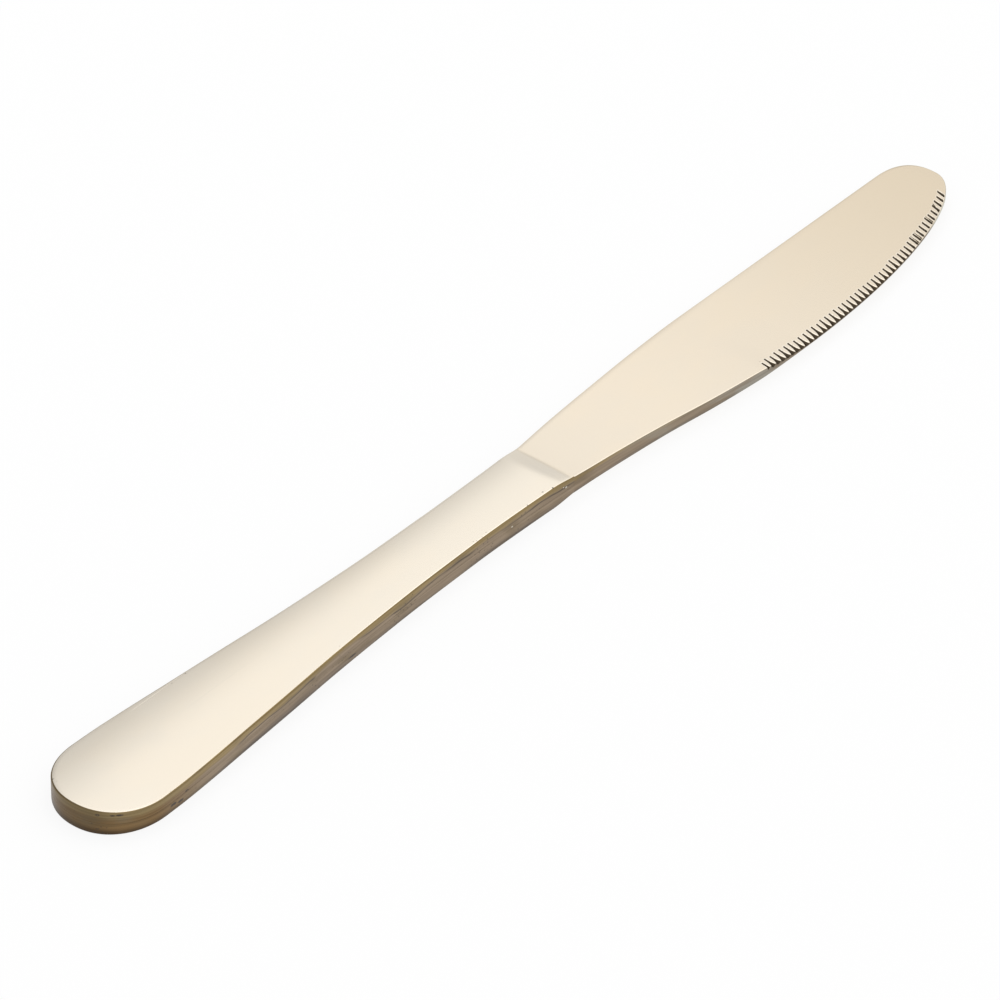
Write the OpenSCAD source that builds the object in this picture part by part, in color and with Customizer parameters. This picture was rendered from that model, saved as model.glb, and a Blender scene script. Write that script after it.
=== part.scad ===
// Table knife with a hollow handle, lying on its side.
// X runs from the butt to the tip, +Y is the spine side, -Y the cutting edge, +Z is up.
// The origin is on the handle's flat underside, below the middle of the handle.

/* [Handle] */
// Length of the handle, from the butt to its mouth
handle_l = 120.5; // [110:0.5:135]
// Thickness of the handle over its two flats
handle_t = 5; // [4.6:0.1:7]
// Width of the handle where it is widest, just ahead of the butt
butt_w = 20.9; // [17:0.1:24]
// Length of the round butt, up to the widest place
butt_l = 11.5; // [9:0.5:14]
// Width of the short straight chord at the very end of the butt
butt_flat_w = 0.8; // [0.4:0.1:1.6]
// Width of the waist, where the handle is narrowest
waist_w = 11.8; // [10.5:0.1:14]
// Distance from the butt to the waist
waist_x = 97; // [85:1:105]
// Width of the handle at its mouth
mouth_w = 12.6; // [11.5:0.1:15]
// How far the mouth, and the blade with it, lies off the handle's middle line, towards the edge
mouth_drop = 0.15; // [0:0.05:1]
// Slope of the crowned faces at the handle's rim, in degrees
crown_slope = 4.3; // [2:0.1:6]
// Depth ground off the top of the crown, which leaves the flat
grind_d = 0.03; // [0.02:0.01:0.06]
// Rounding between the handle's faces and its sides
edge_r = 0.3; // [0.2:0.05:0.6]

/* [Handle shells] */
// Wall of the two stamped half shells
wall_t = 0.75; // [0.5:0.05:0.9]
// Rounding inside the shells
inner_r = 0.3; // [0.2:0.05:0.6]
// Wall left at the thinned lip of the mouth
lip_t = 0.12; // [0.1:0.01:0.3]
// Length over which the lip is dressed down to the blade
ramp_l = 5.5; // [3:0.1:9]
// Thickness of the braze between the half shells
braze_t = 0.12; // [0.08:0.01:0.3]

/* [Blade] */
// Length of the blade ahead of the handle's mouth
blade_l = 109.2; // [95:0.1:125]
// Thickness of the blade at the handle's mouth
root_t = 3.5; // [3.1:0.05:3.6]
// Thickness of the spine at the tip
tip_t = 1.5; // [1.2:0.05:2]
// Thickness of the ground edge
edge_t = 0.6; // [0.55:0.05:1.2]
// Distance from the blade's middle line to the straight stretch of the spine
spine_y = 9.25; // [8:0.05:11]
// Distance from the blade's middle line to the lowest point of the belly
belly_y = 11.9; // [11:0.05:14.5]
// Distance from the handle's mouth to the lowest point of the belly
belly_x = 56; // [50:0.5:65]
// Height of the tip above the blade's middle line
tip_y = 2.1; // [1:0.1:5]
// Length of the rounded nose on the spine side
nose_l = 8.5; // [5:0.1:12]
// Width of the short chord at the very tip
tip_flat_w = 0.6; // [0.4:0.1:1.2]
// Rounding along the blade's spine and edge
blade_r = 0.2; // [0.1:0.05:0.25]

/* [Teeth] */
// Distance between the ground teeth, measured along the blade
tooth_pitch = 1.25; // [1.25:0.05:2]
// Distance from the handle's mouth to the first groove
tooth_start_x = 46; // [40:0.5:55]
// Plain length left between the last groove and the tip
tooth_end_l = 4; // [2.5:0.1:8]
// Length of a groove, from the edge into the face
groove_l = 2.4; // [1.6:0.1:3.5]
// Depth of a groove at the edge
groove_d = 0.4; // [0.3:0.05:0.5]
// Width of a groove at the edge
groove_w = 1.2; // [0.8:0.05:1.2]
// Slant of the grooves towards the tip, in degrees
groove_slant = 9; // [0:1:30]

/* [Tang and filling] */
// Length of the tang inside the handle
tang_l = 48; // [30:1:70]
// Width of the tang at the handle's mouth
tang_root_w = 8.6; // [7:0.1:9]
// Width of the tang at its end
tang_end_w = 4.6; // [3:0.1:6]
// Thickness of the tang
tang_t = 2.6; // [2:0.1:2.8]
// Clearance round the tang and round the filling
fit_gap = 0.05; // [0.03:0.01:0.1]

/* [Hidden] */

// Squareness of the butt's, the belly's and the nose's curves: 2 is an ellipse
butt_power = 2.14;
belly_power = 2.04;
nose_power = 2.6;

// How far the handle still is from its waist width, from the widest place to the waist
taper_shares = [[0, 1], [0.05, 0.98], [0.12, 0.91], [0.26, 0.715], [0.4, 0.52],
                [0.54, 0.31], [0.68, 0.16], [0.82, 0.055], [1, 0]];
// How far the spine has risen from the mouth to its straight stretch, along the blade
spine_shares = [[0, 0], [0.09, 0.34], [0.2, 0.635], [0.31, 0.88], [0.42, 1], [1, 0.98]];
// How far the edge has dropped from the mouth to the belly, on the way to the belly
drop_shares = [[0, 0], [0.18, 0.147], [0.38, 0.36], [0.6, 0.67], [0.74, 0.825], [0.88, 0.95], [1, 1]];
// How far the edge side has thinned from the root to the ground edge, on the way to the belly
thin_shares = [[0, 0], [0.07, 0.1], [0.21, 0.2], [0.35, 0.31], [0.49, 0.4],
               [0.63, 0.465], [0.78, 0.55], [0.88, 0.78], [1, 1]];
// The part of the lip's ramp over which it bends down from the face
ramp_bend_share = 0.4;

// Steps of the curves: round butt, handle body, the lip's ramp, blade body, nose
butt_steps = 10;
body_steps = 23;
ramp_steps = 5;
blade_steps = 26;
nose_steps = 10;
// Steps across a shell's edge rounding and across its face
round_steps = 3;
face_steps = 8;
filler_face_steps = 4;
// Steps across the blade's rounding and across its face
rim_steps = 2;
blade_face_steps = 3;
// A rounding takes at most this share of a narrow section
round_share = 0.45;
// The cutters run past the surfaces by this much
over = 2;

overall_l = handle_l + blade_l;
mouth_x = handle_l;
face_z = handle_t / 2 + grind_d;

// Easing from 0 to 1, level at both ends
function ease(s) = let (c = min(1, max(0, s))) c * c * (3 - 2 * c);

// A smooth curve through the points of a table of shares, with no overshoot
function piece_of(t, u, i = 0) = (i >= len(t) - 2 || u <= t[i + 1][0]) ? i : piece_of(t, u, i + 1);
function chord(t, i) = (t[i + 1][1] - t[i][1]) / (t[i + 1][0] - t[i][0]);
function turn(a, b) = a * b <= 0 ? 0 : 2 * a * b / (a + b);
function slope_at(t, i) =
    i == 0 ? chord(t, 0)
    : i == len(t) - 1 ? chord(t, i - 1)
    : turn(chord(t, i - 1), chord(t, i));
function share_at(t, u) =
    let (
        i = piece_of(t, u),
        h = t[i + 1][0] - t[i][0],
        s = min(1, max(0, (u - t[i][0]) / h))
    )
    t[i][1] * (1 + 2 * s) * (1 - s) * (1 - s)
    + slope_at(t, i) * h * s * (1 - s) * (1 - s)
    + t[i + 1][1] * s * s * (3 - 2 * s)
    - slope_at(t, i + 1) * h * s * s * (1 - s);

// A quarter of a superellipse: 1 at u = 0 and 0 at u = 1
function quarter(u, power) = pow(max(0, 1 - pow(min(1, max(0, u)), power)), 1 / power);

// Half the handle's width at x, for an outline lying inset inside the outer one
function body_half(x) =
    x < waist_x
    ? waist_w / 2 + (butt_w - waist_w) / 2 * share_at(taper_shares, (x - butt_l) / (waist_x - butt_l))
    : waist_w / 2 + (mouth_w - waist_w) / 2 * pow((x - waist_x) / (handle_l - waist_x), 2);
function butt_half(x, inset) = (butt_w / 2 - inset) * quarter((butt_l - x) / (butt_l - inset), butt_power);
function handle_half(x, inset) =
    x < butt_l ? max(butt_flat_w / 2, butt_half(x, inset)) : body_half(x) - inset;

// Where that outline crosses the height y at the round butt
function butt_x(y, inset) = butt_l - (butt_l - inset) * quarter(abs(y) / (butt_w / 2 - inset), butt_power);

// The middle line of the handle swings over to the edge side on the way from the waist to the mouth
function sway(x) = -mouth_drop * ease((x - waist_x) / (mouth_x - waist_x));
function swayed(list) = [for (p = list) [p[0], p[1] + sway(p[0]), p[2]]];

// Distance of a point from the outline: the height of the corner triangle between it and the curve
function corner_height(a, b) = (a <= 0 || b <= 0) ? 0 : a * b / sqrt(a * a + b * b);
function from_outline(x, y, inset) =
    x < butt_l
    ? corner_height(x - butt_x(y, inset), handle_half(x, inset) - abs(y))
    : handle_half(x, inset) - abs(y);

// How far a rounding of radius r lies below the face at distance d from the outline
function rounding(d, r) = d >= r ? 0 : r - sqrt(r * r - (r - max(0, d)) * (r - max(0, d)));

// How far the lip is dressed down at x, from 0 to 1: a parabola that runs out into a straight slope
function ramp(s) = (s < ramp_bend_share ? s * s / (2 * ramp_bend_share) : s - ramp_bend_share / 2)
    / (1 - ramp_bend_share / 2);
function dressed(x) = ramp(max(0, x - (mouth_x - ramp_l)) / ramp_l);

// How far the crown has fallen from the middle line, in proportion to the handle's width
function crown(x, y) = tan(crown_slope) * y * y / (2 * handle_half(max(x, butt_l), 0));

// Height of a shell's surface above the seam: crowned, rounded at the outline, and levelled and
// thinned at the mouth
function shell_z(x, y, inset, r) =
    face_z - inset
    - (inset > 0 ? crown(x, y) : crown(x, y) * (1 - dressed(x)) + (wall_t - lip_t) * dressed(x))
    - rounding(from_outline(x, y, inset), r);

// The heights y of a section's points, from the +Y side over the top to the -Y side
function section_ys(half, r, rounds, faces) =
    let (rr = min(r, round_share * half))
    concat(
        [for (k = [0 : rounds]) half - rr * (1 - cos(90 * k / rounds))],
        [for (m = [1 : faces - 1]) (half - rr) * (1 - 2 * m / faces)],
        [for (k = [rounds : -1 : 0]) rr * (1 - cos(90 * k / rounds)) - half]
    );

// Places along the handle: close together round the butt, even along the body and along the ramp
function butt_places() = [for (k = [0 : butt_steps - 1]) butt_l * (1 - cos(90 * k / butt_steps))];
function handle_places(end_x) = concat(
    butt_places(),
    [for (k = [0 : body_steps - 1]) butt_l + (end_x - ramp_l - butt_l) * k / body_steps],
    [for (k = [0 : ramp_steps]) end_x - ramp_l * (1 - k / ramp_steps)]
);
// The same place on an inset outline, whose butt starts later
function inset_place(x, inset) = x < butt_l ? inset + x * (butt_l - inset) / butt_l : x;

// One arc of surface points at a place, over the top from side to side
function arc_points(place, inset, r, rounds, faces) =
    let (x = inset_place(place, inset))
    [for (y = section_ys(handle_half(x, inset), r, rounds, faces)) [x, y, shell_z(x, y, inset, r)]];

// A wall's closed loop at a place: the outer arc, then the inner arc back, both down to the seam
function outer_arc(place) =
    let (half = handle_half(place, 0))
    concat(
        [[place, half, braze_t / 2]],
        arc_points(place, 0, edge_r, round_steps, face_steps),
        [[place, -half, braze_t / 2]]
    );
function inner_arc(place) =
    let (x = inset_place(place, wall_t), half = handle_half(x, wall_t))
    concat(
        [[x, half, braze_t / 2]],
        arc_points(place, wall_t, inner_r, round_steps, face_steps),
        [[x, -half, braze_t / 2]]
    );

function reversed(list) = [for (i = [len(list) - 1 : -1 : 0]) list[i]];
function flipped_y(list) = [for (p = list) [p[0], -p[1]]];
function flipped_z(list) = [for (p = list) [p[0], p[1], -p[2]]];
function joined(lists) = [for (l = lists) each l];

// Faces between neighbouring loops of n points, two triangles for each quad
function skin_faces(loops, n) = [
    for (i = [0 : loops - 2]) for (j = [0 : n - 1])
        let (a = i * n + j, b = i * n + (j + 1) % n, c = a + n, d = b + n)
        each [[a, c, b], [b, c, d]]
];
function fan_faces(ids) = [for (k = [1 : len(ids) - 2]) [ids[0], ids[k], ids[k + 1]]];
function strip_faces(p, q) = [
    for (k = [0 : len(p) - 2]) each [[p[k], q[k], p[k + 1]], [p[k + 1], q[k], q[k + 1]]]
];
function span(a, b) = [for (k = [a : b]) k];

// A solid with a closed loop of points at each place: half of it on top, half below, and flat ends
module loft(loops) {
    n = len(loops[0]);
    m = n / 2;
    last = (len(loops) - 1) * n;
    polyhedron(
        points = joined(loops),
        faces = concat(
            skin_faces(len(loops), n),
            strip_faces(reversed(span(m, n - 1)), span(0, m - 1)),
            strip_faces(span(last, last + m - 1), reversed(span(last + m, last + n - 1)))
        )
    );
}

// One stamped half shell above the seam: closed round the butt, open at the mouth and at the seam
module half_shell() {
    places = handle_places(mouth_x);
    loops = [for (p = places) swayed(concat(outer_arc(p), reversed(inner_arc(p))))];
    n = len(loops[0]);
    m = n / 2;
    last = (len(loops) - 1) * n;
    difference() {
        polyhedron(
            points = joined(loops),
            faces = concat(
                skin_faces(len(loops), n),
                fan_faces(span(0, m - 1)),
                fan_faces(span(m, n - 1)),
                [[0, m - 1, m], [0, m, n - 1]],
                strip_faces(span(last, last + m - 1), reversed(span(last + m, last + n - 1)))
            )
        );
        translate([-over, -butt_w / 2, handle_t / 2])
            cube([handle_l + 2 * over, butt_w, over]);
    }
}

// The blade's spine and edge, at a distance x from the butt
function blade_share(x) = (x - mouth_x) / blade_l;
function spine_line(x) =
    tip_y + max(
        tip_flat_w / 2,
        (mouth_w / 2 + (spine_y - mouth_w / 2) * share_at(spine_shares, blade_share(x)) - tip_y)
        * quarter((x - (overall_l - nose_l)) / nose_l, nose_power)
    );
function edge_line(x) =
    x < mouth_x + belly_x
    ? -(mouth_w / 2 + (belly_y - mouth_w / 2) * share_at(drop_shares, (x - mouth_x) / belly_x))
    : tip_y - max(
        tip_flat_w / 2,
        (tip_y + belly_y) * quarter((x - mouth_x - belly_x) / (blade_l - belly_x), belly_power)
    );

// Half the blade's thickness: tapered to the tip, thinner at the edge, even again at the nose
function spine_h(x) = (root_t + (tip_t - root_t) * blade_share(x)) / 2;
function ground_h(x) = (root_t + (edge_t - root_t) * share_at(thin_shares, (x - mouth_x) / belly_x)) / 2;
function edge_h(x) =
    ground_h(x) + (spine_h(x) - ground_h(x)) * ease((x - (overall_l - nose_l)) / nose_l);
function blade_h(x, y) =
    edge_h(x) + (spine_h(x) - edge_h(x)) * (y - edge_line(x)) / (spine_line(x) - edge_line(x));
function blade_z(x, y) =
    blade_h(x, y) - rounding(min(spine_line(x) - y, y - edge_line(x), overall_l - x), blade_r);

function blade_ys(x) =
    let (s = spine_line(x), e = edge_line(x), r = min(blade_r, round_share * (s - e) / 2))
    concat(
        [for (k = [0 : rim_steps]) s - r * (1 - cos(90 * k / rim_steps))],
        [for (k = [1 : blade_face_steps - 1]) s - r + (e - s + 2 * r) * k / blade_face_steps],
        [for (k = [rim_steps : -1 : 0]) e + r * (1 - cos(90 * k / rim_steps))]
    );
function blade_loop(x) =
    let (top = [for (y = blade_ys(x)) [x, y, blade_z(x, y)]])
    concat(top, reversed(flipped_z(top)));
function blade_places() = concat(
    [for (k = [0 : blade_steps]) mouth_x + (blade_l - nose_l) * k / blade_steps],
    [for (k = [1 : nose_steps]) overall_l - nose_l + nose_l * sin(90 * k / nose_steps)]
);

// One slanted V-shaped cutter: it meets the face at the groove's end and is deepest at the edge
module groove(x) {
    dip = atan(groove_d / groove_l);
    height = groove_d + blade_r;
    half = height * groove_w / 2 / groove_d;
    translate([x, edge_line(x), edge_h(x)])
        rotate([0, 0, -groove_slant])
            translate([0, 0, -groove_d])
                rotate([dip, 0, 0])
                    translate([0, groove_l + over, 0])
                        rotate([90, 0, 0])
                            linear_extrude(height = groove_l + 2 * over)
                                polygon([[0, 0], [half, height], [-half, height]]);
}

// The tang in plan, and all round larger by gap
module tang(gap) {
    back = mouth_x - tang_l - gap;
    front = mouth_x + over;
    translate([0, 0, -tang_t / 2 - gap])
        linear_extrude(height = tang_t + 2 * gap)
            polygon([
                [front, tang_root_w / 2 + gap],
                [mouth_x, tang_root_w / 2 + gap],
                [back, tang_end_w / 2 + gap],
                [back, -tang_end_w / 2 - gap],
                [mouth_x, -tang_root_w / 2 - gap],
                [front, -tang_root_w / 2 - gap]
            ]);
}

// Moves the blade's middle line onto the middle of the handle's mouth
module at_mouth() {
    translate([0, -mouth_drop, 0]) children();
}

// Forged blade and tang in one piece, with the teeth ground into its upper face
module blade() {
    first = mouth_x + tooth_start_x;
    last = overall_l - tooth_end_l;
    color([0.89, 0.83, 0.73])
        at_mouth()
            difference() {
                union() {
                    loft([for (x = blade_places()) blade_loop(x)]);
                    tang(0);
                }
                for (x = [first : tooth_pitch : last]) groove(x);
            }
}

module handle_shell_upper() {
    color([0.93, 0.88, 0.8]) half_shell();
}

module handle_shell_lower() {
    color([0.91, 0.86, 0.78]) mirror([0, 0, 1]) half_shell();
}

// Line of braze between the half shells, as wide as their walls
module seam_braze() {
    places = handle_places(mouth_x);
    outer = [for (p = places) [p, handle_half(p, 0)]];
    inner = [for (p = places) let (x = inset_place(p, wall_t)) [x, handle_half(x, wall_t)]];
    ring = concat(reversed(outer), flipped_y(outer), reversed(flipped_y(inner)), inner);
    color([0.6, 0.5, 0.33])
        translate([0, 0, -braze_t / 2])
            linear_extrude(height = braze_t)
                polygon([for (p = ring) [p[0], p[1] + sway(p[0])]]);
}

// Cement that fills the shells and holds the tang
module handle_filler() {
    inset = wall_t + fit_gap;
    color([0.72, 0.7, 0.66])
        difference() {
            loft([
                for (p = handle_places(mouth_x - fit_gap))
                    let (top = arc_points(p, inset, inner_r, 1, filler_face_steps))
                    swayed(concat(top, reversed(flipped_z(top))))
            ]);
            at_mouth() tang(fit_gap);
        }
}

// Puts a piece in the part's frame: on its flat underside, centred below the handle
module placed() {
    translate([-handle_l / 2, 0, handle_t / 2]) children();
}

placed() blade();
placed() handle_shell_upper();
placed() handle_shell_lower();
placed() seam_braze();
placed() handle_filler();
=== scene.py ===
import math

import bmesh
import bpy
import numpy as np
from mathutils import Matrix, Vector


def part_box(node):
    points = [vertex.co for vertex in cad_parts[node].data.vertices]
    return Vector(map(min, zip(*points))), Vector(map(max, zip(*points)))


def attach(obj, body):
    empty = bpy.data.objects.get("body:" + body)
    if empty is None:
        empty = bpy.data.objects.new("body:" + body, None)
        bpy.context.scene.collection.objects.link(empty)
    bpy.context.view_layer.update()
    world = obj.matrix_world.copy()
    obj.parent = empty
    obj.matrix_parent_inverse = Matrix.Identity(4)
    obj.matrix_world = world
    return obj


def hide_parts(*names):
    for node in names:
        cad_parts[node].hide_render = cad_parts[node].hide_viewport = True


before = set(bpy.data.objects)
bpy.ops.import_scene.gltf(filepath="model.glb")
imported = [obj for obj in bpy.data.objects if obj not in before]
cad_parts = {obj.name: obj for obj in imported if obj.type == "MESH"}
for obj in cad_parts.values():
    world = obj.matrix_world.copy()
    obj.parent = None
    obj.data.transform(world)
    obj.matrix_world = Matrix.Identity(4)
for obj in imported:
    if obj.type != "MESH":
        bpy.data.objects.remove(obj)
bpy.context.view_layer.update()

# Table knife with a polished champagne finish, lying on its side.
# Shapes are worked out in millimetres, with x from the butt, y up to the spine and z from the seam.
MM = 0.001
LEAST = 1e-6
shell_low, shell_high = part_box("handle_shell_upper")
blade_low, blade_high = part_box("blade")
BUTT_AT = shell_low.x / MM
HANDLE_L = (shell_high.x - shell_low.x) / MM
HANDLE_T = shell_high.z / MM
OVERALL_L = (blade_high.x - shell_low.x) / MM
BLADE_L = OVERALL_L - HANDLE_L
MIDDLE_HEIGHT = shell_high.z / 2
ROOT_AT = shell_high.x
TIP_AT = blade_high.x

# Handle
BUTT_W = 20.9
BUTT_L = 11.5
BUTT_POWER = 2.14
WAIST_W = 11.8
WAIST_X = 97
MOUTH_W = 12.6
MOUTH_DROP = 0.15
CROWN_SLOPE = math.radians(4.3)
EDGE_R = 0.3
WALL_T = 0.75
INNER_R = 0.3
LIP_T = 0.04
RAMP_L = 5.5
RAMP_START_SHARE = 0.5
RAMP_END_SHARE = 0.15
BRAZE_T = 0.12
BRAZE_INSET = 0.01
TAPER_SHARES = [(0, 1), (0.05, 0.98), (0.12, 0.91), (0.26, 0.715), (0.4, 0.52),
                (0.54, 0.31), (0.68, 0.16), (0.82, 0.055), (1, 0)]

# Blade
ROOT_T = 3.5
TIP_T = 1.5
EDGE_T = 0.6
SPINE_Y = 9.25
BELLY_Y = 11.9
BELLY_X = 56
BELLY_POWER = 2.04
TIP_Y = 2.1
NOSE_L = 8.5
NOSE_POWER = 2.6
BLADE_R = 0.2
SPINE_SHARES = [(0, 0), (0.09, 0.34), (0.2, 0.635), (0.31, 0.88), (0.42, 1), (1, 0.98)]
DROP_SHARES = [(0, 0), (0.18, 0.147), (0.38, 0.36), (0.6, 0.67), (0.74, 0.825),
               (0.88, 0.95), (1, 1)]
THIN_SHARES = [(0, 0), (0.07, 0.1), (0.21, 0.2), (0.35, 0.31), (0.49, 0.4),
               (0.63, 0.465), (0.78, 0.55), (0.88, 0.78), (1, 1)]

# Teeth: where the cuts between them stand, and how far they slant
TOOTH_PITCH = 1.25
TOOTH_START_X = 46
TOOTH_END_L = 4
LAST_CUT = math.floor((BLADE_L - TOOTH_START_X - TOOTH_END_L) / TOOTH_PITCH + LEAST)
FIRST_TOOTH_X = HANDLE_L + TOOTH_START_X - TOOTH_PITCH / 2
GROOVE_SLANT = math.radians(9)
FIRST_SLANT = math.radians(4)
FIRST_TEETH_L = 14

# Teeth: length of a cut. It varies, shrinks to the tip, and grows over the first few cuts.
GROOVE_L = 2.4
ROOT_LENGTH_SHARE = 1.05
TIP_SHORTENING = 0.2
LENGTH_WANDER = 0.09
SHORT_CUTS = 5
SHORT_CUTS_FROM = -1
SHORT_SHARE = 0.68
SHORT_GROWTH = 0.32

# Teeth: width and depth of a cut. The first two are thinner, and the last are strokes.
GROOVE_W = 1.32
GROOVE_D = 0.4
DEPTH_POWER = 0.6
WEDGE_POWER = 3.2
THIN_CUTS = 2
THIN_CUTS_FROM = -0.6
STROKE_W = 0.44
TIP_STROKE_W = 0.47
TIP_WEDGE_SHARE = 0.12
STROKES_FROM = 0.5
STROKES_OVER = 0.4
TIP_BAND = 0.45
TIP_BAND_AT = 0.1
PAINTED_GLINT_W = 0.3
SLOPE_STEP = 0.1

# Teeth: chance changes, and the twins and forks among the strokes
SINE_STEP = 12.9898
SINE_HEIGHT = 43758.5453
PLACE_WANDER = 0.05
PLACE_DRAW = 0.37
TWIN_DRAW = 0.71
TWIN_ODDS = 0.75
TWINS_FROM = 0.4
TWIN_OFF = 0.46
TWIN_THINNER = 0.14
FORK_DRAW = 0.23
FORK_ODDS = 0.62
FORKS_FROM = 0.1
FORK_LEAN = 0.45
FORK_AT = 1.1
FORK_THINNER = 0.1

# Tang
TANG_L = 48
TANG_ROOT_W = 8.6
TANG_END_W = 4.6
TANG_T = 2.6


# Shape formulas

def share_curve(table, u):
    """Smooth curve through a table of shares, with no overshoot: a cubic between neighbours, whose
    slope at a point is the harmonic mean of the two chords that meet there."""
    places, shares = np.array(table, float).T
    chords = np.diff(shares) / np.diff(places)
    product = chords[:-1] * chords[1:]
    total = chords[:-1] + chords[1:]
    inner = np.where(product > 0, 2 * product / np.where(total == 0, 1, total), 0)
    slopes = np.concatenate([chords[:1], inner, chords[-1:]])
    u = np.clip(u, places[0], places[-1])
    i = np.clip(np.searchsorted(places, u, side="right") - 1, 0, len(chords) - 1)
    step = places[i + 1] - places[i]
    s = (u - places[i]) / step
    return (
        shares[i] * (1 + 2 * s) * (1 - s) ** 2
        + slopes[i] * step * s * (1 - s) ** 2
        + shares[i + 1] * s * s * (3 - 2 * s)
        - slopes[i + 1] * step * s * s * (1 - s)
    )


def quarter(u, power):
    """A quarter of a superellipse: (1 - u^power)^(1/power), from 1 at u = 0 to 0 at u = 1."""
    return np.maximum(0, 1 - np.clip(u, 0, 1) ** power) ** (1 / power)


def ease(s):
    """3 s^2 - 2 s^3, from 0 to 1 and level at both ends."""
    s = np.clip(s, 0, 1)
    return s * s * (3 - 2 * s)


def rounding(d, r):
    """How far a quarter circle of radius r lies below the face at distance d from the outline."""
    inside = r - np.clip(d, 0, r)
    return r - np.sqrt(r * r - inside * inside)


def handle_half(x):
    """Half the handle's width: a tapering table from the butt to the waist, then a parabola."""
    taper = share_curve(TAPER_SHARES, (x - BUTT_L) / (WAIST_X - BUTT_L))
    narrowing = WAIST_W / 2 + (BUTT_W - WAIST_W) / 2 * taper
    flare = np.clip((x - WAIST_X) / (HANDLE_L - WAIST_X), 0, 1)
    return narrowing + (MOUTH_W - WAIST_W) / 2 * flare ** 2


def sway(x):
    """How far the middle line eases over to the edge side, from the waist to the mouth."""
    return -MOUTH_DROP * ease((x - WAIST_X) / (HANDLE_L - WAIST_X))


def swayed(points):
    """Points moved sideways with the middle line."""
    return points + np.stack([0 * points[:, 0], sway(points[:, 0]), 0 * points[:, 0]], axis=-1)


def dressing(x):
    """How far the lip of the shells is dressed down, 0 to 1: a parabola, a straight ramp, and a
    parabola again that meets the blade level."""
    s = np.clip((x - (HANDLE_L - RAMP_L)) / RAMP_L, 0, 1)
    a, b = RAMP_START_SHARE, RAMP_END_SHARE
    whole = 1 - (a + b) / 2
    ramp = np.where(s < a, s * s / (2 * a), s - a / 2)
    return np.where(s > 1 - b, whole - (1 - s) ** 2 / (2 * b), ramp) / whole


def spine_rise(x):
    """The spine without its nose: a table of shares up from the mouth to its straight stretch."""
    share = share_curve(SPINE_SHARES, (x - HANDLE_L) / BLADE_L)
    return MOUTH_W / 2 + (SPINE_Y - MOUTH_W / 2) * share


def spine_line(x):
    """The spine: its rise, and over the nose a quarter superellipse down to the tip."""
    return TIP_Y + (spine_rise(x) - TIP_Y) * quarter((x - (OVERALL_L - NOSE_L)) / NOSE_L, NOSE_POWER)


def edge_line(x):
    """The edge: a table of shares down to the belly, then a quarter superellipse up to the tip."""
    ahead = x - HANDLE_L
    drop = -(MOUTH_W / 2 + (BELLY_Y - MOUTH_W / 2) * share_curve(DROP_SHARES, ahead / BELLY_X))
    rise = quarter((ahead - BELLY_X) / (BLADE_L - BELLY_X), BELLY_POWER)
    return np.where(ahead < BELLY_X, drop, TIP_Y - (TIP_Y + BELLY_Y) * rise)


def blade_half(x, y):
    """Half the blade's thickness: a straight line from the edge to the spine, both tapered."""
    at_spine = (ROOT_T + (TIP_T - ROOT_T) * ((x - HANDLE_L) / BLADE_L)) / 2
    thinning = share_curve(THIN_SHARES, (x - HANDLE_L) / BELLY_X)
    ground = (ROOT_T + (EDGE_T - ROOT_T) * thinning) / 2
    at_edge = ground + (at_spine - ground) * ease((x - (OVERALL_L - NOSE_L)) / NOSE_L)
    low, high = edge_line(x), spine_line(x)
    across = np.clip((y - low) / np.maximum(high - low, LEAST), 0, 1)
    return at_edge + (at_spine - at_edge) * across


def corner_height(a, b):
    """Height of a triangle with a square corner between sides a and b: a b / sqrt(a^2 + b^2)."""
    a, b = np.maximum(a, 0), np.maximum(b, 0)
    return a * b / np.maximum(np.hypot(a, b), LEAST * MM)


def rim_distance(x, y):
    """Distance from the blade's outline: the height of the corner triangle between a point and the
    curve, taken along x and along y, for the spine side and for the edge side."""
    nose_share = quarter((y - TIP_Y) / (spine_rise(x) - TIP_Y), NOSE_POWER)
    nose_x = OVERALL_L - NOSE_L + NOSE_L * nose_share
    belly_share = quarter((TIP_Y - y) / (TIP_Y + BELLY_Y), BELLY_POWER)
    edge_x = HANDLE_L + BELLY_X + (BLADE_L - BELLY_X) * belly_share
    above = y - edge_line(x)
    on_spine = corner_height(nose_x - x, spine_line(x) - y)
    on_edge = np.where(x < HANDLE_L + BELLY_X, above, corner_height(edge_x - x, above))
    return np.maximum(0, np.minimum(on_spine, on_edge))


# Mesh making

WELD = 1e-4
CREASE = math.radians(34)


def grid_faces(rows, columns):
    """Quads between neighbouring points of a grid of rows by columns."""
    at = np.arange(rows * columns).reshape(rows, columns)
    quads = np.stack([at[:-1, :-1], at[1:, :-1], at[1:, 1:], at[:-1, 1:]], axis=-1)
    return quads.reshape(-1, 4)


def strip_faces(p, q):
    """Quads between two rows of points of the same length."""
    return np.stack([p[:-1], q[:-1], q[1:], p[1:]], axis=-1)


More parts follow.
